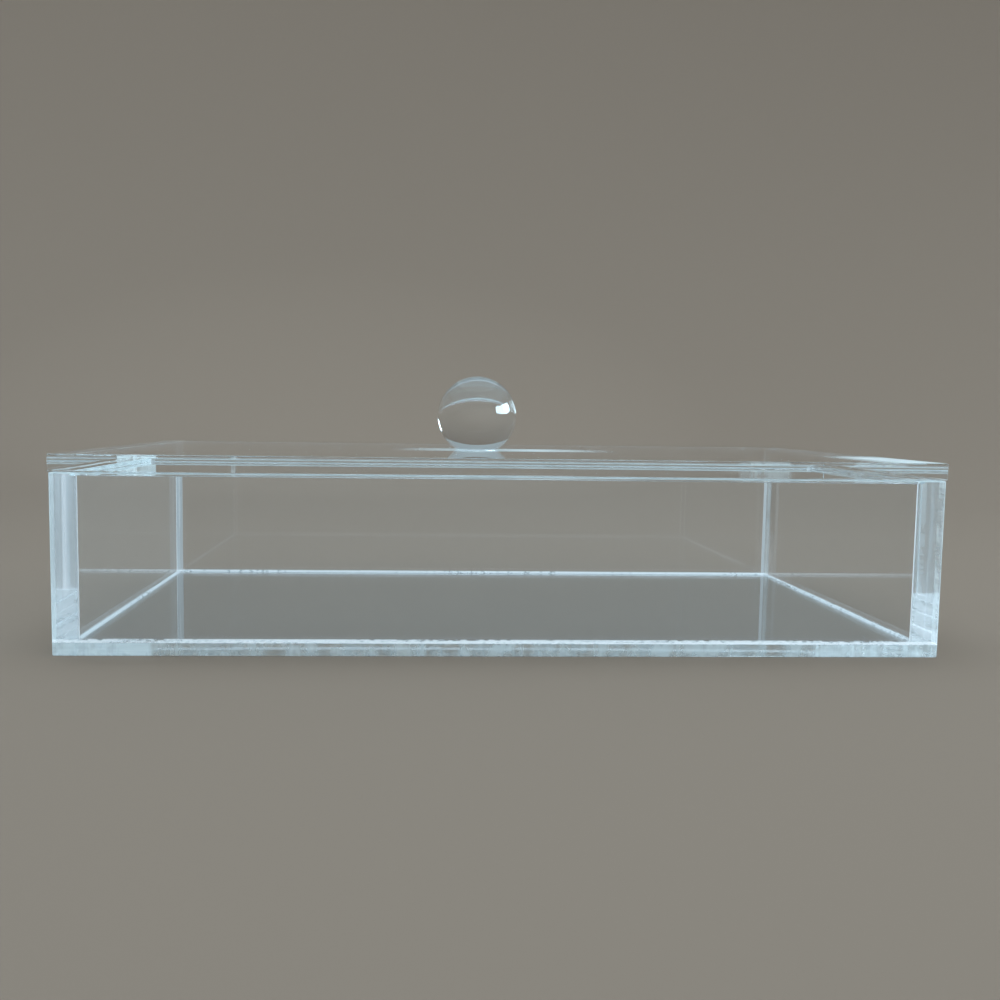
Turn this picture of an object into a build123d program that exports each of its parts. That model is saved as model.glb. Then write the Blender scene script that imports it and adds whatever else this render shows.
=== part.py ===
"""Clear acrylic storage box with a lift-off lid and a ball knob.

Sawn sheets are cemented edge to face: four walls stand on a base plate, and the front and
back walls cover the ends of the side walls. The lid lies on the walls, and a step left by
the rebate on its underside keeps it in place. A solid ball, ground flat where it sits, is
cemented on the lid as its knob.

Millimetres. Origin at the centre of the base plate's underside, +X along the box to the
right, +Y from the front to the back, +Z up.
"""
import os
from math import sqrt

from build123d import *

# Outer size of the four walls, seen from above
box_width = 205.0
box_depth = 110.0

# Sheets that the box is sawn from
wall_sheet = 5.0
wall_height = 38.5
base_sheet = 3.0
lid_sheet = 5.0

# Lid: how deep its rebate is cut, how far it stands out past the walls, how loosely its
# step fits inside them, and how far the uneven sheets hold it off the walls
rebate_depth = 1.0
lid_overhang = 0.25
step_clearance = 0.5
seat_gap = 0.1

# Rounding of the exposed edges, by hand and by flame
edge_break = 0.3

# Cement in every joint, how far it wells out round the knob's foot, and how hollow that
# collar's side is
cement_film = 0.15
cement_collar = 0.35
collar_hollow = 0.05

# Ball knob: its diameter, how much is ground off its foot, and how far to the left of the
# lid's middle it was stuck
knob_diameter = 22.0
knob_flat_depth = 1.6
knob_offset_left = 3.4

# Heights worked out from the sheets
wall_foot = base_sheet + cement_film
wall_top = wall_foot + wall_height
lid_seat = wall_top + seat_gap
step_bottom = lid_seat - rebate_depth
lid_top = step_bottom + lid_sheet
knob_foot = lid_top + cement_film

# Plan sizes worked out from the walls
inner_width = box_width - 2 * wall_sheet
inner_depth = box_depth - 2 * wall_sheet
side_wall_length = inner_depth - 2 * cement_film
long_wall_y = (box_depth - wall_sheet) / 2
side_wall_x = (box_width - wall_sheet) / 2
corner_film_y = (inner_depth - cement_film) / 2
lid_width = box_width + 2 * lid_overhang
lid_depth = box_depth + 2 * lid_overhang
step_width = inner_width - 2 * step_clearance
step_depth = inner_depth - 2 * step_clearance

# Knob sizes worked out from the ball
knob_radius = knob_diameter / 2
knob_centre = knob_foot + knob_radius - knob_flat_depth
knob_crown = knob_centre + knob_radius
foot_radius = sqrt(knob_radius**2 - (knob_radius - knob_flat_depth)**2)
collar_radius = foot_radius + cement_collar
collar_top = knob_centre - sqrt(knob_radius**2 - collar_radius**2)
collar_waist = (collar_radius - collar_hollow, (lid_top + collar_top) / 2)
knob_plane = Plane(origin=(-knob_offset_left, 0, 0), x_dir=(1, 0, 0), z_dir=(0, -1, 0))
knob_axis = Axis((-knob_offset_left, 0, 0), (0, 0, 1))

os.makedirs("parts", exist_ok=True)


def save(piece, name):
    """Label a finished piece and write it to its own STEP file."""
    piece.part.label = name
    export_step(piece.part, f"parts/{name}.step")


# Base plate: the joint above it stays sharp, its other edges are rounded
with BuildPart() as base_plate:
    with BuildSketch():
        Rectangle(box_width, box_depth)
    extrude(amount=base_sheet)
    fillet(base_plate.edges().filter_by(Axis.Z), edge_break)
    fillet(base_plate.faces().sort_by(Axis.Z)[0].edges(), edge_break)
save(base_plate, "base_plate")

# Front and back walls, over the whole width, and the cement that holds them on the base plate
for side, name in ((-1, "front"), (1, "back")):
    with BuildPart() as long_wall:
        with BuildSketch(Plane.XY.offset(wall_foot)):
            with Locations((0, side * long_wall_y)):
                Rectangle(box_width, wall_sheet)
        extrude(amount=wall_height)
        outer_face = long_wall.faces().sort_by(Axis.Y, reverse=side > 0)[0]
        fillet(outer_face.edges().filter_by(Axis.Z), edge_break)
        fillet(long_wall.faces().sort_by(Axis.Z)[-1].edges(), edge_break)
    save(long_wall, f"{name}_wall")

    with BuildPart() as long_seam:
        with BuildSketch(Plane.XY.offset(base_sheet)):
            with Locations((0, side * long_wall_y)):
                Rectangle(box_width, wall_sheet)
        extrude(amount=cement_film)
        outer_face = long_seam.faces().sort_by(Axis.Y, reverse=side > 0)[0]
        fillet(outer_face.edges().filter_by(Axis.Z), edge_break)
    save(long_seam, f"{name}_wall_seam")

# Side walls, between the front and back walls, and the cement under them
for side, name in ((-1, "left"), (1, "right")):
    with BuildPart() as side_wall:
        with BuildSketch(Plane.XY.offset(wall_foot)):
            with Locations((side * side_wall_x, 0)):
                Rectangle(wall_sheet, side_wall_length)
        extrude(amount=wall_height)
        fillet(side_wall.faces().sort_by(Axis.Z)[-1].edges().filter_by(Axis.Y), edge_break)
    save(side_wall, f"{name}_wall")

    with BuildPart() as side_seam:
        with BuildSketch(Plane.XY.offset(base_sheet)):
            with Locations((side * side_wall_x, 0)):
                Rectangle(wall_sheet, side_wall_length)
        extrude(amount=cement_film)
    save(side_seam, f"{name}_wall_seam")

# Cement in the four upright corners, at the ends of the side walls
for end, end_name in ((-1, "front"), (1, "back")):
    for side, side_name in ((-1, "left"), (1, "right")):
        with BuildPart() as corner_seam:
            with BuildSketch(Plane.XY.offset(wall_foot)):
                with Locations((side * side_wall_x, end * corner_film_y)):
                    Rectangle(wall_sheet, cement_film)
            extrude(amount=wall_height - edge_break)
        save(corner_seam, f"{end_name}_{side_name}_corner_seam")

# Lid: one sheet with a rebate all round its underside, which leaves the locating step
with BuildPart() as lid_plate:
    with BuildSketch(Plane.XY.offset(lid_seat)):
        Rectangle(lid_width, lid_depth)
    extrude(amount=lid_sheet - rebate_depth)
    fillet(lid_plate.edges(), edge_break)
    with BuildSketch(Plane.XY.offset(step_bottom)):
        Rectangle(step_width, step_depth)
    extrude(amount=rebate_depth)
    fillet(lid_plate.edges(Select.LAST).filter_by(Axis.Z), edge_break)
    fillet(lid_plate.faces().sort_by(Axis.Z)[0].edges(), edge_break)
save(lid_plate, "lid_plate")

# Ball knob: a solid ball with a flat foot
with BuildPart() as ball_knob:
    with BuildSketch(knob_plane):
        with BuildLine():
            crown = Line((0, knob_foot), (0, knob_crown))
            ThreePointArc(crown @ 1, (knob_radius, knob_centre), (foot_radius, knob_foot))
            Line((foot_radius, knob_foot), crown @ 0)
        make_face()
    revolve(axis=knob_axis)
save(ball_knob, "ball_knob")

# Cement under the knob, welled out into a hollow-sided collar between the ball and the lid
with BuildPart() as knob_seam:
    with BuildSketch(knob_plane):
        with BuildLine():
            floor_line = Line((0, lid_top), (collar_radius, lid_top))
            ThreePointArc(floor_line @ 1, collar_waist, (collar_radius, collar_top))
            RadiusArc((collar_radius, collar_top), (foot_radius, knob_foot), knob_radius)
            Polyline((foot_radius, knob_foot), (0, knob_foot), floor_line @ 0)
        make_face()
    revolve(axis=knob_axis)
save(knob_seam, "knob_seam")
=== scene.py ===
"""Looks of a clear acrylic storage box with a lift-off lid and a ball knob.

Five sawn sheets stand cemented together as a tray, a rebated sheet lies on it as the lid, and a
solid ball is its knob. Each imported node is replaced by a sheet, film or ball of the same size
that is modelled here and dressed as cast acrylic, sawn edge or cured cement.
"""

import logging
import math
from dataclasses import dataclass, field
from enum import Enum, IntEnum
from typing import Callable, Dict, List, Optional, Protocol, Sequence, Tuple, Union

import bmesh
import bpy
from mathutils import Matrix, Vector


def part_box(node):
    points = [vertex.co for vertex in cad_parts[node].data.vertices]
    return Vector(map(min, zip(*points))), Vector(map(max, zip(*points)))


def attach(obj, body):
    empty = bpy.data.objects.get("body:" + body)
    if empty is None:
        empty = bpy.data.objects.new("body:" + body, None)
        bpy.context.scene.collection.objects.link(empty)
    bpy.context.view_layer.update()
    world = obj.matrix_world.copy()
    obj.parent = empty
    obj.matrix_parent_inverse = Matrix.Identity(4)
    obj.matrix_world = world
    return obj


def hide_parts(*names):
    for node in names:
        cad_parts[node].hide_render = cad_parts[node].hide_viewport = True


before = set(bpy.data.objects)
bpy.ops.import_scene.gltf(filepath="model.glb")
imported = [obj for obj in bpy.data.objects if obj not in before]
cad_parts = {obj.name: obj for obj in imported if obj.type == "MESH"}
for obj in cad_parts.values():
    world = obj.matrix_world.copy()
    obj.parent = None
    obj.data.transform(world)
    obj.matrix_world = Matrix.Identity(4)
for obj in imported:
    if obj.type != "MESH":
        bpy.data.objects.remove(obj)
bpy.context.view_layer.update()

MM = 0.001

Pair = Tuple[float, float]
Place = Tuple[float, float, float]
Colour = Tuple[float, float, float]
Stretch = Tuple[float, float, float]
Material = bpy.types.Material
Piece = bpy.types.Object
Inputs = Dict[Union[int, str], object]
Bit = Union[bmesh.types.BMVert, bmesh.types.BMEdge, bmesh.types.BMFace]

DOWN: Place = (0.0, 0.0, -1.0)
UP: Place = (0.0, 0.0, 1.0)
FRONT: Place = (0.0, -1.0, 0.0)
BACK: Place = (0.0, 1.0, 0.0)
LEFT: Place = (-1.0, 0.0, 0.0)
RIGHT: Place = (1.0, 0.0, 0.0)

# Cosines above which a face or an edge counts as square to a direction, and as roughly square
SQUARE = 0.99
ROUGHLY_SQUARE = 0.9

# Points nearer than this, in millimetres, count as level with each other
LEVEL = 0.01

# Facets in each rounding
ROUNDING_FACETS = 3

# Cast acrylic, and the colour that it gives to the lamps' light
ACRYLIC_IOR = 1.49
SHADOW_TINT: Colour = (0.97, 0.98, 0.985)

# Streaks that make the zones ragged: their stretch, how many go to a millimetre, and how much
# of a zone's strength they add to what it has anyway
STREAK_STRETCH: Stretch = (0.04, 0.04, 1.0)
STREAK_SCALE = 2.0
STREAK_SHARE = 0.3
STREAK_BASE = 0.8

log = logging.getLogger("acrylic_box")


class Body(Enum):
    """The two bodies that pieces ride on."""

    TRAY = "box"
    LID = "lid"


class Slot(Enum):
    """The record's material slots."""

    SHEET = "clear_acrylic_sheet"
    BALL = "clear_acrylic_ball"
    CEMENT = "acrylic_cement"


class Axis(Enum):
    """A direction, by the place of its number in a vector."""

    X = 0
    Y = 1
    Z = 2


class Layer(IntEnum):
    """The places of a sheet's materials in its list."""

    FACE = 0
    EDGE = 1
    OTHER_EDGE = 2
    # faces with white haze round the knob and a painted reflection of the window
    SCUFFED = 3


@dataclass(frozen=True)
class Zone:
    """A stretch of a surface, seen from above, in millimetres.

    It reaches its strength over a fade inside its ends along X and Y, and ragged is how far
    streaks shift its ends along Y.
    """

    low: Pair
    high: Pair
    strength: float
    fade: Pair = (0.3, 0.3)
    ragged: float = 0.0


class Value:
    """A number that varies over a surface. Arithmetic on it adds Math nodes."""

    def __init__(self, shader: "Shader", socket: bpy.types.NodeSocket) -> None:
        """Keep the shader that owns the socket, and the socket."""
        self.shader = shader
        self.socket = socket

    def _math(self, operation: str, *operands: object) -> "Value":
        """Add one Math node.

        Args:
            operation: the Math node's operation.
            operands: numbers or values, in the node's order.

        Returns:
            The node's result.
        """
        return self.shader.add("ShaderNodeMath", {"operation": operation}, dict(enumerate(operands)))

    def __add__(self, other: object) -> "Value":
        """Sum."""
        return self._math("ADD", self, other)

    def __radd__(self, other: object) -> "Value":
        """Sum with a number on the left."""
        return self._math("ADD", other, self)

    def __sub__(self, other: object) -> "Value":
        """Difference."""
        return self._math("SUBTRACT", self, other)

    def __rsub__(self, other: object) -> "Value":
        """Difference from a number on the left."""
        return self._math("SUBTRACT", other, self)

    def __mul__(self, other: object) -> "Value":
        """Product."""
        return self._math("MULTIPLY", self, other)

    def __rmul__(self, other: object) -> "Value":
        """Product with a number on the left."""
        return self._math("MULTIPLY", other, self)

    def __abs__(self) -> "Value":
        """Size without sign."""
        return self._math("ABSOLUTE", self)

    def most(self, other: object) -> "Value":
        """The larger of this and another value."""
        return self._math("MAXIMUM", self, other)


class Shader:
    """A material's node tree, with one method that adds any node."""

    def __init__(self, name: str) -> None:
        """Start an empty material.

        Args:
            name: the material's name.
        """
        self.material = bpy.data.materials.new(name)
        self.material.use_nodes = True
        self.tree = self.material.node_tree
        self.tree.nodes.clear()

    def add(self, kind: str, settings: Dict[str, object], inputs: Inputs,
            output: Union[int, str] = 0) -> Value:
        """Add one node, set it up and wire it.

        Args:
            kind: the node's type.
            settings: attributes of the node, set first; stops moves a colour ramp's two stops.
            inputs: numbers, colours or values, by the socket's name or place.
            output: the name or place of the socket to hand back.

        Returns:
            The node's output.
        """
        node = self.tree.nodes.new(kind)
        for name, setting in settings.items():
            if name == "stops":
                self._move_stops(node, setting)
            else:
                setattr(node, name, setting)
        for place, given in inputs.items():
            if isinstance(given, Value):
                self.tree.links.new(given.socket, node.inputs[place])
            else:
                node.inputs[place].default_value = given
        return Value(self, node.outputs[output])

    @staticmethod
    def _move_stops(node: bpy.types.Node, stops: Sequence[Pair]) -> None:
        """Give a colour ramp's two stops their places and levels.

        Args:
            node: the ColorRamp node.
            stops: pairs of place and grey level.
        """
        for element, (place, level) in zip(node.color_ramp.elements, stops):
            element.position = place
            element.color = (level, level, level, 1.0)

    def millimetres(self, stretch: Stretch = (1.0, 1.0, 1.0)) -> Value:
        """The object's own coordinates in millimetres.

        Args:
            stretch: a factor for each axis, by which a pattern is squeezed along it.

        Returns:
            The coordinates as a vector.
        """
        place = self.add("ShaderNodeTexCoord", {}, {}, "Object")
        scale = tuple(factor / MM for factor in stretch)
        return self.add("ShaderNodeMapping", {}, {"Vector": place, "Scale": scale})

    def along(self, axis: Axis) -> Value:
        """How far along an axis a point lies, in millimetres."""
        return self.add("ShaderNodeSeparateXYZ", {}, {0: self.millimetres()}, axis.value)

    def within(self, zone: Zone) -> Value:
        """How much a zone covers a point.

        Args:
            zone: the zone, with streaks that make its ends along Y ragged.

        Returns:
            0 outside the zone, rising to about its strength inside.
        """
        streaks = self.noise(self.millimetres(STREAK_STRETCH), STREAK_SCALE)
        shifts = (0.0, (streaks - 0.5) * zone.ragged)
        cover: Union[float, Value] = zone.strength
        for axis, shift in zip((Axis.X, Axis.Y), shifts):
            low, high = zone.low[axis.value], zone.high[axis.value]
            off_centre = abs(self.along(axis) + shift - (low + high) / 2)
            margin = ((high - low) / 2 - off_centre) * (1 / zone.fade[axis.value])
            cover = cover * self.ramp(margin, (0.0, 1.0), (0.0, 1.0))
        return cover * (streaks * STREAK_SHARE + STREAK_BASE)

    def noise(self, place: Value, scale: float, detail: float = 2.0) -> Value:
        """Soft random variation from 0 to 1.

        Args:
            place: where it is read, in millimetres.
            scale: how many features there are to a millimetre.
            detail: octaves of finer variation.

        Returns:
            The variation.
        """
        return self.add("ShaderNodeTexNoise", {}, {"Vector": place, "Scale": scale, "Detail": detail})

    def ramp(self, given: Value, places: Pair, levels: Pair) -> Value:
        """Bend a value, so that it goes from one level to the other between two places."""
        return self.add("ShaderNodeValToRGB", {"stops": tuple(zip(places, levels))}, {0: given})

    def bump(self, height: Value, depth: float) -> Value:
        """A normal tilted by a height.

        Args:
            height: the height, from 0 to 1.
            depth: how deep the relief is, in millimetres.

        Returns:
            The normal.
        """
        return self.add("ShaderNodeBump", {}, {"Height": height, "Strength": 1.0, "Distance": depth * MM})

    def blend(self, factor: object, first: Value, second: Value) -> Value:
        """Mix two shaders."""
        return self.add("ShaderNodeMixShader", {}, {0: factor, 1: first, 2: second})

    def acrylic(self, tint: Colour, clarity: float, roughness: object, normal: Value) -> Value:
        """Clear acrylic.

        Args:
            tint: its body colour.
            clarity: the share of light that isn't scattered by its haze.
            roughness: how matt its surface is.
            normal: the bumped normal.

        Returns:
            The shader.
        """
        return self.add("ShaderNodeBsdfPrincipled", {}, {
            "Base Color": (*tint, 1.0),
            "Transmission Weight": clarity,
            "IOR": ACRYLIC_IOR,
            "Roughness": roughness,
            "Normal": normal,
        })

    def milk(self, white: Colour, dull: float, glow_share: float = 0.5) -> Value:
        """A white that scatters light back and lets a share of it glow through.

        Args:
            white: its colour.
            dull: how matt its surface is.
            glow_share: the share of light that it lets through.

        Returns:
            The shader.
        """
        back = self.add("ShaderNodeBsdfPrincipled", {}, {"Base Color": (*white, 1.0), "Roughness": dull})
        onward = self.add("ShaderNodeBsdfTranslucent", {}, {"Color": (*white, 1.0)})
        return self.blend(glow_share, back, onward)

    def finish(self, surface: Value) -> Material:
        """Wire the surface and hand back the material."""
        output = self.tree.nodes.new("ShaderNodeOutputMaterial")
        self.tree.links.new(surface.socket, output.inputs["Surface"])
        return self.material

    def finish_clear(self, body: Value, tint: Colour = SHADOW_TINT) -> Material:
        """Let the lamps shine through a shader, and hand back the material.

        Args:
            body: the shader as it is seen.
            tint: the colour of the light that it lets through.

        Returns:
            The material, clear to shadow rays.
        """
        shadow_ray = self.add("ShaderNodeLightPath", {}, {}, "Is Shadow Ray")
        clear = self.add("ShaderNodeBsdfTransparent", {}, {"Color": (*tint, 1.0)})
        return self.finish(self.blend(shadow_ray, body, clear))


class Finish(Protocol):
    """Anything that a piece can be dressed in."""

    def material(self) -> Material:
        """Build the material."""


def dressed(finish: Finish) -> Material:
    """A field that holds a finish's material, built together with its sub-assembly."""
    return field(default_factory=finish.material)


@dataclass(frozen=True)
class SheetFace:
    """The factory face of cast sheet: glossy, a little wavy, with a trace of haze.

    Its zones of white haze show only where it is seen at a slant; in part they are a painted reflection of
    the window.
    """

    name: str = "cast_sheet_face"
    tint: Colour = (0.985, 0.995, 1.0)
    clarity: float = 0.995
    wave_length: float = 22.0
    wave_depth: float = 0.002
    haze_and_painted_glare_zones: Tuple[Zone, ...] = ()
    haze_and_glare_white: Colour = (0.97, 0.94, 0.92)
    haze_and_glare_dull: float = 0.4
    haze_and_glare_slant: Pair = (0.7, 0.96)
    haze_and_glare_show: Pair = (0.04, 1.0)

    def material(self) -> Material:
        """Build the material."""
        shader = Shader(self.name)
        wave = shader.noise(shader.millimetres(), 1 / self.wave_length, 0.0)
        normal = shader.bump(wave, self.wave_depth)
        body = shader.acrylic(self.tint, self.clarity, 0.0, normal)
        # White haze in zones, stronger at a slant: where it lies at the lid's front right corner it is a
        # painted reflection of the window
        if self.haze_and_painted_glare_zones:
            cover, *others = [shader.within(zone) for zone in self.haze_and_painted_glare_zones]
            for other in others:
                cover = cover.most(other)
            slant = shader.add("ShaderNodeLayerWeight", {}, {"Blend": 0.5}, "Facing")
            haze = cover * shader.ramp(slant, self.haze_and_glare_slant, self.haze_and_glare_show)
            body = shader.blend(haze, body, shader.milk(self.haze_and_glare_white, self.haze_and_glare_dull))
        return shader.finish_clear(body)


@dataclass(frozen=True)
class CutEdge:
    """A cut edge: clear where it was polished, frosted in blotches and along the tool's marks.

    Its frost rises from its least to its most between two levels of that pattern, and the
    mottle of its zones does the same.
    """

    name: str
    across: Axis
    frost: Pair = (0.05, 0.3)
    frost_between: Pair = (0.4, 0.6)
    mottle: Pair = (0.45, 1.0)
    mottle_between: Pair = (0.42, 0.55)
    white: Colour = (0.98, 0.99, 0.98)
    white_dull: float = 0.4
    tint: Colour = (0.93, 0.98, 1.0)
    dull: float = 0.12
    mark_pitch: float = 0.9
    mark_depth: float = 0.004
    mark_stretch: float = 0.06
    mark_share: float = 0.3
    mark_detail: float = 3.0
    blotch_size: float = 6.0
    zones: Tuple[Zone, ...] = ()

    def material(self) -> Material:
        """Build the material."""
        shader = Shader(self.name)
        stretch = [1.0, 1.0, 1.0]
        stretch[self.across.value] = self.mark_stretch
        marks = shader.noise(shader.millimetres(tuple(stretch)), 1 / self.mark_pitch, self.mark_detail)
        blotch = shader.noise(shader.millimetres(), 1 / self.blotch_size)
        pattern = blotch * (1 - self.mark_share) + marks * self.mark_share
        frost = shader.ramp(pattern, self.frost_between, self.frost)
        mottle = shader.ramp(pattern, self.mottle_between, self.mottle)
        for zone in self.zones:
            frost = frost.most(shader.within(zone) * mottle)
        normal = shader.bump(marks, self.mark_depth)
        clear = shader.acrylic(self.tint, 1.0, marks * self.dull, normal)
        return shader.finish_clear(shader.blend(frost, clear, shader.milk(self.white, self.white_dull)))


@dataclass(frozen=True)
class PolishedBall:
    """The knob's acrylic, turned and polished all over."""

    name: str = "polished_ball"
    tint: Colour = (0.99, 0.997, 1.0)
    clarity: float = 0.99
    swirl_scale: float = 0.12
    swirl_depth: float = 0.002

    def material(self) -> Material:
        """Build the material."""
        shader = Shader(self.name)
        swirl = shader.noise(shader.millimetres(), self.swirl_scale, 0.0)
        normal = shader.bump(swirl, self.swirl_depth)
        return shader.finish_clear(shader.acrylic(self.tint, self.clarity, 0.0, normal))


@dataclass(frozen=True)
class Cement:
    """Cured cement film: clear where it wetted both sheets, white with bubbles where it didn't.

    A bead in it is white all along, in a band at one distance along X from the box's middle.
    """

    name: str
    run: Axis
    cover: float = 0.75
    cover_reach: float = 0.4
    border: float = 0.05
    streak_length: float = 30.0
    streak_width: float = 4.0
    bubble_size: float = 1.2
    bubble_share: float = 0.4
    white: Colour = (1.0, 0.90, 0.87)
    haze: Pair = (0.04, 0.96)
    dull: float = 0.25
    glow_share: float = 0.45
    bead_at: Optional[float] = None
    bead_width: float = 1.5
    bead_haze: float = 0.9
    bead_border: Pair = (0.4, 0.55)
    shadow_tint: Colour = (0.86, 0.90, 0.92)

    def material(self) -> Material:
        """Build the material."""
        shader = Shader(self.name)
        stretch = [1 / self.streak_width] * 3
        stretch[self.run.value] = 1 / self.streak_length
        streaks = shader.noise(shader.millimetres(tuple(stretch)), 1.0)
        bubbles = shader.noise(shader.millimetres(), 1 / self.bubble_size)
        amount = streaks * (1 - self.bubble_share) + bubbles * self.bubble_share
        edge = 0.5 + (0.5 - self.cover) * self.cover_reach
        mask = shader.ramp(amount, (edge - self.border, edge + self.border), self.haze)
        if self.bead_at is not None:
            off = abs(abs(shader.along(Axis.X)) - self.bead_at) * (1 / self.bead_width)
            mask = mask.most(shader.ramp(off, self.bead_border, (self.bead_haze, 0.0)))
        clear = shader.add("ShaderNodeBsdfTransparent", {}, {})
        film = shader.blend(mask, clear, shader.milk(self.white, self.dull, self.glow_share))
        return shader.finish_clear(film, self.shadow_tint)


@dataclass(frozen=True)
class StudioPaper:
    """The plain pale floor and backdrop."""

    name: str = "studio_paper"
    colour: Colour = (0.187, 0.127, 0.094)
    dull: float = 0.85

    def material(self) -> Material:
        """Build the material."""
        shader = Shader(self.name)
        return shader.finish(shader.add("ShaderNodeBsdfPrincipled", {},
                                        {"Base Color": (*self.colour, 1.0), "Roughness": self.dull}))


def spin(mesh: bmesh.types.BMesh, outline: Sequence[Pair], centre_x: float, steps: int,
         join: float) -> None:
    """Turn an outline a full round about an upright axis.

    Args:
        mesh: the mesh that gets the surface.
        outline: pairs of distance from the axis and height.
        centre_x: where the axis stands along X.
        steps: facets round the axis.
        join: points nearer than this become one.
    """
    points = [mesh.verts.new((centre_x + out, 0.0, up)) for out, up in outline]
    edges = [mesh.edges.new(pair) for pair in zip(points, points[1:])]
    bmesh.ops.spin(mesh, geom=[*points, *edges], cent=(centre_x, 0.0, 0.0), axis=UP,
                   angle=math.tau, steps=steps, use_merge=True)
    bmesh.ops.remove_doubles(mesh, verts=mesh.verts, dist=join)


def settle(mesh: bmesh.types.BMesh) -> None:
    """Put a mesh's edges and faces in an order that is the same in each run.

    Args:
        mesh: the mesh, whose points already have such an order.
    """
    mesh.verts.index_update()
    for bits in (mesh.edges, mesh.faces):
        by_points = sorted(bits, key=lambda bit: sorted(point.index for point in bit.verts))
        ranks = {bit: rank for rank, bit in enumerate(by_points)}
        bits.sort(key=lambda bit: ranks[bit])


def add_object(name: str, data: bpy.types.ID) -> Piece:
    """Add an object to the scene."""
    made = bpy.data.objects.new(name, data)
    bpy.context.scene.collection.objects.link(made)
    return made


def add_mesh(name: str, mesh: bmesh.types.BMesh, materials: Sequence[Material]) -> Piece:
    """Add a finished mesh to the scene as an object.

    Args:
        name: the object's name.
        mesh: the mesh, which is used up.
        materials: its materials, in the order of the faces' indices.

    Returns:
        The object.
    """
    settle(mesh)
    data = bpy.data.meshes.new(name)
    mesh.to_mesh(data)
    mesh.free()
    for material in materials:
        data.materials.append(material)
    return add_object(name, data)


@dataclass
class Solid:
    """A closed shape under construction, in millimetres, which becomes one piece."""

    name: str
    mesh: bmesh.types.BMesh = field(default_factory=bmesh.new)

    def block(self, low: Vector, high: Vector) -> None:
        """Add a block between two corners."""
        size = Matrix.Diagonal((*(high - low), 1.0))
        bmesh.ops.create_cube(self.mesh, size=1.0, matrix=Matrix.Translation((low + high) / 2) @ size)

    def everything(self) -> List[Bit]:
        """All points, edges and faces."""
        return [*self.mesh.verts, *self.mesh.edges, *self.mesh.faces]

    def edges_where(self, test: Callable[[Vector], bool]) -> List[bmesh.types.BMEdge]:
        """The edges whose two ends both pass a test of a point."""
        return [edge for edge in self.mesh.edges if all(test(end.co) for end in edge.verts)]

    @staticmethod
    def runs_along(edge: bmesh.types.BMEdge, axis: Axis) -> bool:
        """Whether an edge runs along an axis."""
        run = (edge.verts[1].co - edge.verts[0].co).normalized()
        return abs(run[axis.value]) > SQUARE

    def face_towards(self, direction: Place) -> bmesh.types.BMFace:
        """The face that lies furthest in a direction and looks that way."""
        way = Vector(direction)
        facing = [face for face in self.mesh.faces if face.normal.dot(way) > SQUARE]
        return max(facing, key=lambda face: face.calc_center_median().dot(way))

    def round_edges(self, edges: List[bmesh.types.BMEdge], radius: float) -> None:
        """Round edges to a radius."""
        bmesh.ops.bevel(self.mesh, geom=edges, offset=radius, offset_type="OFFSET", affect="EDGES",
                        segments=ROUNDING_FACETS, profile=0.5, material=-1)

    def dress_edges(self, through: Axis, cemented: Sequence[Place] = ()) -> None:
        """Give the bare cut edges of a sheet the edge's material.

        Args:
            through: the direction through the sheet's thickness.
            cemented: the directions in which its edges are cemented, and so clear.
        """
        self.mesh.normal_update()
        for face in self.mesh.faces:
            is_edge = abs(face.normal[through.value]) < SQUARE
            face.material_index = Layer.EDGE if is_edge else Layer.FACE
        for way in cemented:
            self.face_towards(way).material_index = Layer.FACE

    def dress_towards(self, direction: Place, layer: Layer, below: float = math.inf) -> None:
        """Give the edges that look one way another material.

        Args:
            direction: the way that they look.
            layer: the material's place in the piece's list.
            below: only faces lower than this height are dressed.
        """
        for face in self.mesh.faces:
            looks_that_way = face.normal.dot(Vector(direction)) > ROUGHLY_SQUARE
            is_edge = face.material_index != Layer.FACE
            if looks_that_way and is_edge and face.calc_center_median().z < below:
                face.material_index = layer

    def piece(self, materials: Sequence[Material], body: Body, slot: Slot, node: str) -> Piece:
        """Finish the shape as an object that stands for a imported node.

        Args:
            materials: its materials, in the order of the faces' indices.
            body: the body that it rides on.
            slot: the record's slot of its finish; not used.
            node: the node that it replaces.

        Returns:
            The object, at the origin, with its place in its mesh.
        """
        bmesh.ops.recalc_face_normals(self.mesh, faces=self.mesh.faces)
        bmesh.ops.scale(self.mesh, vec=(MM, MM, MM), verts=self.mesh.verts)
        made = add_mesh(self.name, self.mesh, materials)
        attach(made, body.value)
        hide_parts(node)
        log.info("%s: %d faces, rides on %s", self.name, len(made.data.polygons), body.value)
        return made


def corners(node: str) -> Tuple[Vector, Vector]:
    """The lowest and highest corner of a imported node, in millimetres."""
    low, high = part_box(node)
    return low / MM, high / MM


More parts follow.
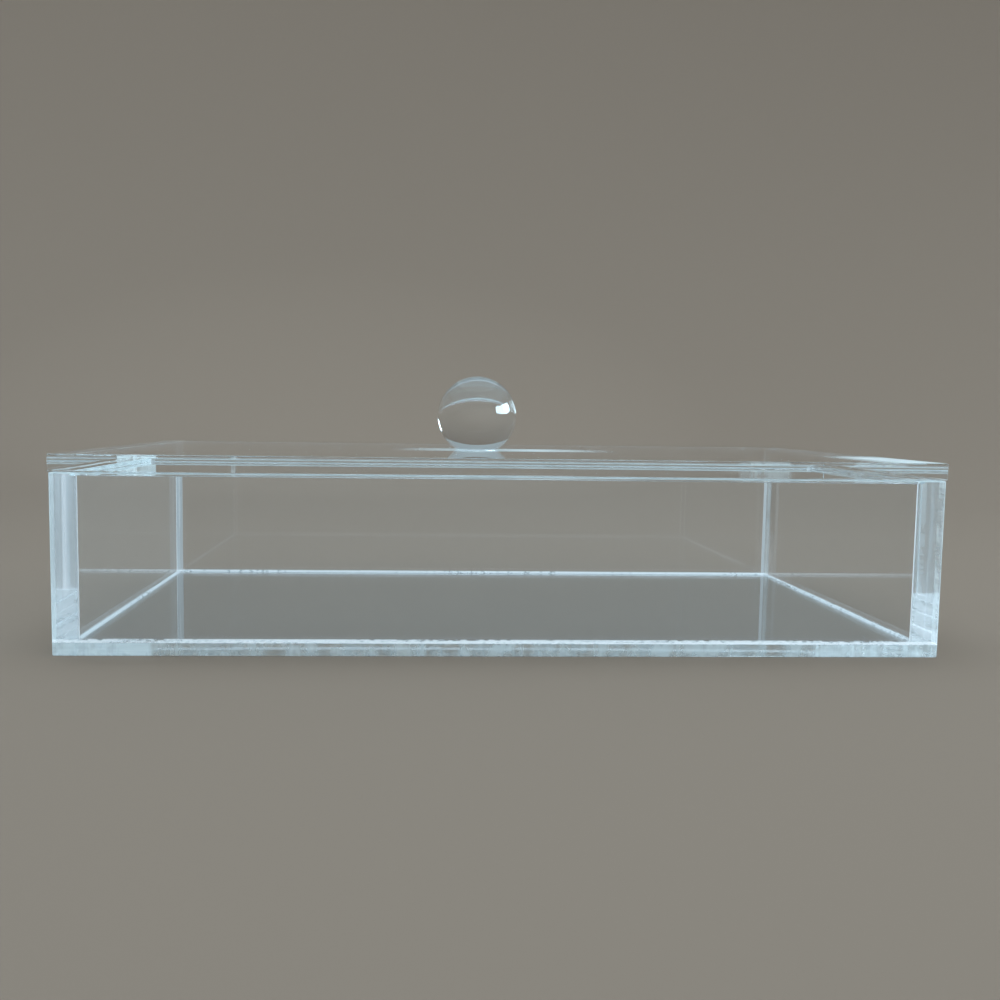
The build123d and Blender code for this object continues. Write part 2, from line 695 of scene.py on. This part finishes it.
@dataclass
class Tray:
    """The base plate, the four walls on it and the cement between them.

    A cemented end runs a hair into its neighbour, so that light passes the joint as it does
    through cement, and each film lies sealed inside that end. Sizes are in millimetres.
    """

    edge_break: float = 0.3
    bond: float = 0.02
    thickest_film: float = 1.0
    film_inset: float = 0.04
    film_skin: float = 0.012
    bead_inset: float = 0.01
    floor_welling: float = 0.5
    front_floor_welling: float = 0.1
    back_welling: float = 1.1
    front_welling: float = 0.25
    face: Material = dressed(SheetFace("long_wall_face"))
    side_face: Material = dressed(SheetFace("side_wall_face", clarity=0.985))
    base_face: Material = dressed(SheetFace("base_plate_face", clarity=0.975))
    plan_edge: Material = dressed(CutEdge(
        "base_plate_edge", Axis.Z, frost=(0.0, 0.42), mark_pitch=1.2, mark_depth=0.002,
        mark_share=0.2, blotch_size=5.0, dull=0.08,
        zones=(
            Zone((-104.0, -57.0), (-79.0, -54.0), 1.0, fade=(2.0, 0.3)),
            Zone((70.0, -57.0), (101.0, -54.0), 0.6, fade=(5.0, 0.3)),
        )))
    long_edge: Material = dressed(CutEdge(
        "long_wall_edge", Axis.Y, frost=(0.35, 0.5), mark_depth=0.002, mark_share=0.1,
        blotch_size=12.0))
    polished_edge: Material = dressed(CutEdge("polished_wall_edge", Axis.Y, frost=(0.03, 0.2)))
    left_edge: Material = dressed(CutEdge("left_wall_edge", Axis.X, frost=(0.3, 0.6)))
    right_edge: Material = dressed(CutEdge("right_wall_edge", Axis.X, frost=(0.0, 0.1)))
    long_cement: Material = dressed(Cement(
        "cement_under_long_walls", Axis.X, cover=0.68, bubble_share=0.5, haze=(0.04, 0.75)))
    left_cement: Material = dressed(Cement("cement_under_left_wall", Axis.Y, haze=(0.04, 0.48)))
    right_cement: Material = dressed(Cement(
        "cement_under_right_wall", Axis.Y, cover=0.6, haze=(0.08, 0.5)))
    front_cement: Material = dressed(Cement(
        "cement_in_front_corners", Axis.Z, cover=-0.1, bead_at=97.4, bead_width=0.3))
    back_left_cement: Material = dressed(Cement(
        "cement_in_back_left_corner", Axis.Z, cover=0.3, streak_width=1.2, bubble_share=0.15,
        haze=(0.4, 0.55), bead_at=102.2, bead_width=0.9))
    back_right_cement: Material = dressed(Cement(
        "cement_in_back_right_corner", Axis.Z, cover=0.3, streak_width=1.2, bubble_share=0.15,
        haze=(0.04, 0.18), bead_at=96.9, bead_width=1.1, bead_haze=0.42))

    def build(self) -> List[Piece]:
        """Model and dress every piece of the tray."""
        made = [self.base_plate()]
        for side, welled in (("front", self.front_floor_welling), ("back", -self.floor_welling)):
            made += [self.long_wall(side), self.floor_film(side, Axis.Y, welled, self.long_cement)]
        for side, inwards, cement in (("left", 1, self.left_cement), ("right", -1, self.right_cement)):
            made.append(self.side_wall(side))
            made.append(self.floor_film(side, Axis.X, inwards * self.floor_welling, cement))
            made.append(self.corner_film(f"front_{side}", inwards * self.front_welling, self.front_cement))
        made.append(self.corner_film("back_left", self.back_welling, self.back_left_cement))
        made.append(self.corner_film("back_right", -self.back_welling, self.back_right_cement))
        return made

    def base_plate(self) -> Piece:
        """The base plate: sharp round its top, rounded elsewhere."""
        low, high = corners("base_plate")
        solid = Solid("clear_base_plate")
        solid.block(low, high)
        top = solid.edges_where(lambda point: point.z > high.z - self.bond)
        solid.round_edges([edge for edge in solid.mesh.edges if edge not in top], self.edge_break)
        solid.dress_edges(Axis.Z)
        return solid.piece((self.base_face, self.plan_edge), Body.TRAY, Slot.SHEET, "base_plate")

    def long_wall(self, side: str) -> Piece:
        """A wall over the whole width.

        Args:
            side: front or back.

        Returns:
            The wall, with its foot run into the base plate.
        """
        low, high = corners(f"{side}_wall")
        low.z = corners("base_plate")[1].z - self.bond
        solid = Solid(f"clear_{side}_wall")
        solid.block(low, high)
        outer = low.y if side == "front" else high.y
        exposed = solid.edges_where(lambda point: point.z > high.z - self.bond)
        for edge in solid.edges_where(lambda point: abs(point.y - outer) < self.bond):
            if edge not in exposed and solid.runs_along(edge, Axis.Z):
                exposed.append(edge)
        solid.round_edges(exposed, self.edge_break)
        solid.dress_edges(Axis.Y, cemented=(DOWN,))
        solid.dress_towards(RIGHT, Layer.OTHER_EDGE)
        materials = (self.face, self.long_edge, self.polished_edge)
        return solid.piece(materials, Body.TRAY, Slot.SHEET, f"{side}_wall")

    def side_wall(self, side: str) -> Piece:
        """A wall between the front and the back one.

        Args:
            side: left or right.

        Returns:
            The wall, with its foot and ends run into what they are cemented to.
        """
        low, high = corners(f"{side}_wall")
        low.z = corners("base_plate")[1].z - self.bond
        low.y = corners("front_wall")[1].y - self.bond
        high.y = corners("back_wall")[0].y + self.bond
        solid = Solid(f"clear_{side}_wall")
        solid.block(low, high)
        top = solid.edges_where(lambda point: point.z > high.z - self.bond)
        solid.round_edges([edge for edge in top if solid.runs_along(edge, Axis.Y)], self.edge_break)
        solid.dress_edges(Axis.X, cemented=(DOWN, FRONT, BACK))
        edge = self.left_edge if side == "left" else self.right_edge
        return solid.piece((self.side_face, edge), Body.TRAY, Slot.SHEET, f"{side}_wall")

    def floor_film(self, side: str, across: Axis, welled: float, cement: Material) -> Piece:
        """The cement under a wall, welled out over the floor into a bead as tall as it is wide.

        Args:
            side: the wall's side.
            across: the direction through the wall.
            welled: how far it welled out in that direction, with its sign.
            cement: its material.

        Returns:
            The film, a hair smaller than the joint where it is hidden.
        """
        node = f"{side}_wall_seam"
        low, high = corners(node)
        if across is Axis.X:
            low.y += self.floor_welling
            high.y -= self.floor_welling
        face = (high if welled > 0 else low)[across.value]
        solid = self.film(node, low, high, across, welled)
        self.raise_bead(solid, across, face, welled)
        return solid.piece((cement,), Body.TRAY, Slot.CEMENT, node)

    def raise_bead(self, solid: Solid, across: Axis, face: float, welled: float) -> None:
        """Raise a film against the wall's face, between the walls at its ends.

        Args:
            solid: the film.
            across: the direction in which it welled out.
            face: where the wall's face is in that direction.
            welled: how far the film welled out past the face, with its sign.
        """
        way = math.copysign(1.0, welled)
        bead_x = corners("right_wall")[0].x
        cuts = [(across, face - way * self.bead_inset * share) for share in (2, 1)]
        if across is Axis.Y:
            cuts += [(Axis.X, end * (bead_x + self.bead_inset * share))
                     for end in (-1, 1) for share in (0, 1)]
        for axis, place in cuts:
            normal = Vector([float(other is axis) for other in Axis])
            bmesh.ops.bisect_plane(solid.mesh, geom=solid.everything(), plane_co=normal * place,
                                   plane_no=normal)
        middle = sum(point.co.z for point in solid.mesh.verts) / len(solid.mesh.verts)
        for point in solid.mesh.verts:
            at_face = abs(point.co[across.value] - face + way * self.bead_inset) < self.bead_inset / 2
            between = across is Axis.X or abs(point.co.x) < bead_x + self.bead_inset / 2
            if at_face and between and point.co.z > middle:
                point.co.z += abs(welled)

    def corner_film(self, corner: str, welled: float, cement: Material) -> Piece:
        """The cement in an upright corner, welled out a little along the long wall.

        Args:
            corner: the corner's name.
            welled: how far it welled out along X, with its sign.
            cement: its material.

        Returns:
            The film, a hair smaller than the joint where it is hidden.
        """
        node = f"{corner}_corner_seam"
        solid = self.film(node, *corners(node), Axis.X, welled)
        return solid.piece((cement,), Body.TRAY, Slot.CEMENT, node)

    def film(self, node: str, low: Vector, high: Vector, across: Axis, welled: float) -> Solid:
        """A film of cement between two sheets.

        Args:
            node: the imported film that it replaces.
            low: the joint's lowest corner.
            high: the joint's highest corner.
            across: the direction in which it welled out.
            welled: how far, with its sign.

        Returns:
            The film, a skin thinner than the joint.
        """
        for axis in Axis:
            is_thickness = high[axis.value] - low[axis.value] < self.thickest_film
            gap = self.film_skin if is_thickness else self.film_inset
            low[axis.value] += gap
            high[axis.value] -= gap
        if welled > 0:
            high[across.value] += welled
        else:
            low[across.value] += welled
        solid = Solid(f"{node}_cement")
        solid.block(low, high)
        return solid


@dataclass
class Lid:
    """The lid's sheet, with the rebate that leaves a step on its underside, in millimetres.

    Its top has a block of white haze round the knob and, further right at the front corner, a painted
    reflection of the window, both showing at a slant.
    """

    edge_break: float = 0.3
    seat_gap: float = 0.1
    step_clearance: float = 0.5
    knob_haze_from: float = -28.0
    knob_haze_to: float = 37.0
    haze_and_glare_half_depth: float = 12.0
    painted_glare_corner: float = 84.0
    face: Material = dressed(SheetFace("lid_face"))
    edge: Material = dressed(CutEdge(
        "lid_edge", Axis.Z, frost=(0.0, 0.012), mark_depth=0.0003, dull=0.02, tint=(0.96, 0.98, 0.99),
        zones=(
            Zone((-104.0, 40.0), (-97.0, 140.0), 0.95, fade=(0.3, 3.0), ragged=80.0),
            Zone((-104.0, 54.0), (-97.0, 57.0), 0.95),
            Zone((77.0, 54.0), (94.0, 57.0), 0.4, fade=(2.0, 0.3)),
            Zone((-75.7, 54.0), (-73.6, 57.0), 0.6, fade=(0.6, 0.3)),
        )))
    rough_edge: Material = dressed(CutEdge("lid_rough_step_edge", Axis.Y, frost=(0.8, 0.95)))
    # White haze round the knob, and at the front right corner a painted reflection of the window
    haze_and_painted_glare_face: Material = dressed(SheetFace("lid_face_haze_and_painted_glare", haze_and_painted_glare_zones=(
        Zone((-27.0, -11.5), (36.0, 11.5), 0.8, fade=(22.0, 4.0)),
        Zone((85.0, -80.0), (120.0, -13.0), 0.9, fade=(9.0, 16.0)),
    )))

    def build(self) -> List[Piece]:
        """Model and dress the lid."""
        low, high = corners("lid_plate")
        wall_corner = corners("left_wall")[1]
        seat = wall_corner.z + self.seat_gap
        step = wall_corner.x + self.step_clearance - low.x
        solid = Solid("clear_lid")
        solid.block(Vector((low.x, low.y, seat)), high)
        under = solid.face_towards(DOWN)
        bmesh.ops.inset_region(solid.mesh, faces=[under], thickness=step, depth=0.0)
        step_face = bmesh.ops.extrude_discrete_faces(solid.mesh, faces=[under])["faces"][0]
        bmesh.ops.translate(solid.mesh, verts=step_face.verts, vec=(0.0, 0.0, low.z - seat))
        rim = solid.edges_where(lambda point: point.x < low.x + LEVEL or point.x > high.x - LEVEL)
        rim += solid.edges_where(lambda point: point.y < low.y + LEVEL or point.y > high.y - LEVEL)
        foot = [edge for edge in solid.mesh.edges if any(end.co.z < low.z + LEVEL for end in edge.verts)]
        solid.round_edges(list(dict.fromkeys(rim + foot)), self.edge_break)
        solid.dress_edges(Axis.Z)
        for direction in (FRONT, BACK, RIGHT):
            solid.dress_towards(direction, Layer.FACE, below=seat + LEVEL)
        solid.dress_towards(LEFT, Layer.OTHER_EDGE, below=seat + LEVEL)
        self.part_top_for_haze_and_glare(solid)
        materials = (self.face, self.edge, self.rough_edge, self.haze_and_painted_glare_face)
        return [solid.piece(materials, Body.LID, Slot.SHEET, "lid_plate")]

    def part_top_for_haze_and_glare(self, solid: Solid) -> None:
        """Part the lid's top and dress the white haze round the knob and the painted reflection of the
        window at the front right corner.

        Args:
            solid: the lid.
        """
        top = solid.face_towards(UP)
        height = top.calc_center_median().z
        cuts = [(place, RIGHT) for place in (self.knob_haze_from, self.knob_haze_to, self.painted_glare_corner)]
        cuts += [(place, BACK) for place in (-self.haze_and_glare_half_depth, self.haze_and_glare_half_depth)]
        parts = [top]
        for place, normal in cuts:
            geometry = dict.fromkeys(bit for face in parts for bit in (*face.verts, *face.edges, face))
            bmesh.ops.bisect_plane(solid.mesh, geom=list(geometry), plane_co=Vector(normal) * place,
                                   plane_no=normal)
            parts = [face for face in solid.mesh.faces
                     if face.normal.z > SQUARE and abs(face.calc_center_median().z - height) < LEVEL]
        for face in parts:
            middle = face.calc_center_median()
            by_knob = self.knob_haze_from < middle.x < self.knob_haze_to
            by_knob = by_knob and abs(middle.y) < self.haze_and_glare_half_depth
            # the front right corner holds the painted reflection of the window
            in_corner = middle.x > self.painted_glare_corner and middle.y < -self.haze_and_glare_half_depth
            if by_knob or in_corner:
                face.material_index = Layer.SCUFFED


@dataclass
class Knob:
    """The ball knob, and the clear cement that welled out round its foot, in millimetres."""

    bond: float = 0.03
    join: float = 0.003
    segments: int = 96
    rings: int = 64
    collar_hollow: float = 0.05
    ball: Material = dressed(PolishedBall())
    cement: Material = dressed(Cement("cement_under_knob", Axis.Z, cover=1.0, white=(1.0, 0.93, 0.88)))
    collar_cement: Material = dressed(SheetFace("clear_collar"))

    def build(self) -> List[Piece]:
        """Model and dress the ball and its cement."""
        return [self.ball_piece(), self.collar()]

    def ball_piece(self) -> Piece:
        """The ball, ground flat at its foot."""
        low, high = corners("ball_knob")
        radius = (high.x - low.x) / 2
        centre = Vector(((low.x + high.x) / 2, 0.0, high.z - radius))
        foot = corners("lid_plate")[1].z - self.bond
        solid = Solid("clear_ball")
        bmesh.ops.create_uvsphere(solid.mesh, u_segments=self.segments, v_segments=self.rings,
                                  radius=radius, matrix=Matrix.Translation(centre))
        bmesh.ops.bisect_plane(solid.mesh, geom=solid.everything(), plane_co=(0.0, 0.0, foot),
                               plane_no=DOWN, clear_outer=True)
        rim = [edge for edge in solid.mesh.edges if edge.is_boundary]
        bmesh.ops.holes_fill(solid.mesh, edges=rim, sides=0)
        for face in solid.mesh.faces:
            face.smooth = True
        for edge in rim:
            edge.smooth = False
        return solid.piece((self.ball,), Body.LID, Slot.BALL, "ball_knob")

    def collar(self) -> Piece:
        """The cement under the ball, with a hollow-sided collar round the foot."""
        low, high = corners("knob_seam")
        ball_low, ball_high = corners("ball_knob")
        centre_x = (low.x + high.x) / 2
        radius = (ball_high.x - ball_low.x) / 2
        middle = ball_high.z - radius
        reach = (high.x - low.x) / 2
        foot = math.sqrt(radius ** 2 - (middle - ball_low.z) ** 2) - self.bond
        outline = (
            (0.0, low.z - self.bond / 2),
            (reach, low.z - self.bond / 2),
            (reach - self.collar_hollow, (low.z + high.z) / 2),
            (reach, high.z),
            (foot, ball_low.z),
            (0.0, ball_low.z),
        )
        solid = Solid("knob_cement")
        spin(solid.mesh, outline, centre_x, self.segments, self.join)
        for face in solid.mesh.faces:
            outwards = face.calc_center_median() - Vector((centre_x, 0.0, 0.0))
            face.material_index = int(outwards.xy.length > foot)
        return solid.piece((self.cement, self.collar_cement), Body.LID, Slot.CEMENT, "knob_seam")


@dataclass(frozen=True)
class Softbox:
    """A rectangular lamp: where it hangs and what it faces, in metres, and its power in watts."""

    place: Place
    aim: Place
    size: Pair
    power: float
    daylight: Colour = (0.60, 0.85, 1.0)

    def hang(self, name: str, lit: Sequence[Piece] = (), mirrored: bool = False) -> None:
        """Hang the lamp where no camera sees it.

        Args:
            name: the lamp's name.
            lit: the only objects that it lights, or none for all of them.
            mirrored: whether it shows in what it lights.
        """
        data = bpy.data.lights.new(name, "AREA")
        data.shape = "RECTANGLE"
        data.size, data.size_y = self.size
        data.energy = self.power
        data.color = self.daylight
        lamp = add_object(name, data)
        lamp.location = self.place
        lamp.rotation_euler = (Vector(self.aim) - Vector(self.place)).to_track_quat("-Z", "Y").to_euler()
        lamp.visible_camera = False
        lamp.visible_glossy = mirrored
        lamp.visible_transmission = mirrored
        if lit:
            receivers = bpy.data.collections.new(f"lit_by_{name}")
            for piece in lit:
                receivers.objects.link(piece)
            lamp.light_linking.receiver_collection = receivers


@dataclass
class Studio:
    """The pale floor that sweeps up all round, the lamps and the camera. Lengths are in metres.

    The window light stands low on the right. The floor gets its share of it from higher up, so
    that it has no hot spot, and only the ball mirrors it. The lens's axis meets the picture to
    the left of its middle, at centre_pixel.
    """

    ball: List[Piece]
    sheets: List[Piece]
    floor_gap: float = 0.00005
    floor_radius: float = 0.42
    sweep_radius: float = 0.75
    wall_height: float = 0.85
    sweep_steps: int = 24
    round_steps: int = 128
    join: float = 0.000001
    window: Softbox = Softbox((0.78, -0.12, 0.26), (0.0, 0.0, 0.05), (0.80, 0.30), 18.0)
    high_window: Softbox = Softbox((0.85, -0.1, 0.8), (0.0, 0.0, 0.0), (0.6, 0.4), 9.5)
    top_softbox: Softbox = Softbox((-0.1, 0.0, 0.95), (-0.1, 0.0, 0.0), (0.8, 0.8), 6.0)
    front_wash: Softbox = Softbox((-0.1, -0.85, 0.62), (-0.05, 0.0, 0.02), (0.7, 0.5), 8.5)
    back_wash: Softbox = Softbox((0.0, 0.1, 0.9), (-0.1, 1.15, 0.5), (0.9, 0.5), 6.0)
    air: Colour = (0.75, 0.92, 1.0)
    air_strength: float = 0.42
    camera_place: Place = (-0.02122, -0.28134, 0.0557)
    camera_yaw: float = -2.6
    camera_pitch: float = 4.905
    camera_roll: float = -0.741
    focal_pixels: float = 1000.0
    centre_pixel: float = 458.0
    image_pixels: float = 1000.0
    sensor: float = 36.0
    nearest_seen: float = 0.01
    bounces: int = 32
    glossy_bounces: int = 24

    def build(self) -> None:
        """Set the stage."""
        self.lamps(self.floor())
        self.world()
        self.camera()
        self.render_limits()

    def floor(self) -> Piece:
        """The floor and backdrop, one round bowl with a flat bottom."""
        outline = [(0.0, 0.0), (self.floor_radius, 0.0)]
        for step in range(1, self.sweep_steps + 1):
            turn = step / self.sweep_steps * math.pi / 2
            outline.append((self.floor_radius + self.sweep_radius * math.sin(turn),
                            self.sweep_radius * (1 - math.cos(turn))))
        outline.append((self.floor_radius + self.sweep_radius, self.wall_height))
        mesh = bmesh.new()
        lowered = [(out, up - self.floor_gap) for out, up in outline]
        spin(mesh, lowered, 0.0, self.round_steps, self.join)
        bmesh.ops.recalc_face_normals(mesh, faces=mesh.faces)
        if mesh.faces[0].normal.z < 0:
            bmesh.ops.reverse_faces(mesh, faces=mesh.faces)
        for face in mesh.faces:
            face.smooth = True
        stage = add_mesh("studio_floor", mesh, [StudioPaper().material()])
        return stage

    def lamps(self, floor: Piece) -> None:
        """A window-like softbox on the right, a soft top light and a wash from front and back.

        Args:
            floor: the floor and backdrop.
        """
        self.window.hang("window_on_ball", self.ball, mirrored=True)
        self.window.hang("window_on_sheets", self.sheets)
        self.high_window.hang("window_on_floor", [floor])
        self.top_softbox.hang("top_softbox")
        self.front_wash.hang("front_wash")
        self.back_wash.hang("back_wash")

    def world(self) -> None:
        """Soft cool light from above the backdrop's rim."""
        world = bpy.data.worlds.new("studio_air")
        bpy.context.scene.world = world
        world.use_nodes = True
        background = world.node_tree.nodes["Background"]
        background.inputs["Color"].default_value = (*self.air, 1.0)
        background.inputs["Strength"].default_value = self.air_strength

    def camera(self) -> None:
        """The camera, at the photograph's angle."""
        data = bpy.data.cameras.new("camera")
        data.sensor_width = self.sensor
        data.lens = self.sensor * self.focal_pixels / self.image_pixels
        data.shift_x = 0.5 - self.centre_pixel / self.image_pixels
        data.clip_start = self.nearest_seen
        camera = add_object("camera", data)
        turn = Matrix.Rotation(math.radians(self.camera_yaw), 4, "Z")
        turn @= Matrix.Rotation(math.radians(-self.camera_pitch), 4, "X")
        turn @= Matrix.Rotation(math.radians(self.camera_roll), 4, "Y")
        turn @= Matrix.Rotation(math.pi / 2, 4, "X")
        camera.matrix_world = Matrix.Translation(self.camera_place) @ turn
        bpy.context.scene.camera = camera

    def render_limits(self) -> None:
        """Enough bounces for light to cross every sheet, and plain display colours."""
        scene = bpy.context.scene
        for limit in ("max_bounces", "transmission_bounces", "transparent_max_bounces"):
            setattr(scene.cycles, limit, self.bounces)
        scene.cycles.glossy_bounces = self.glossy_bounces
        scene.cycles.caustics_reflective = False
        scene.cycles.caustics_refractive = False
        scene.view_settings.view_transform = "Standard"


def main() -> None:
    """Build the stage and every sub-assembly, and report the pieces."""
    logging.basicConfig(level=logging.INFO, format="%(name)s: %(message)s")
    sheets = Tray().build() + Lid().build()
    knob = Knob().build()
    Studio(knob, sheets).build()
    log.info("%d pieces", len(sheets + knob))


if __name__ == "__main__":
    main()
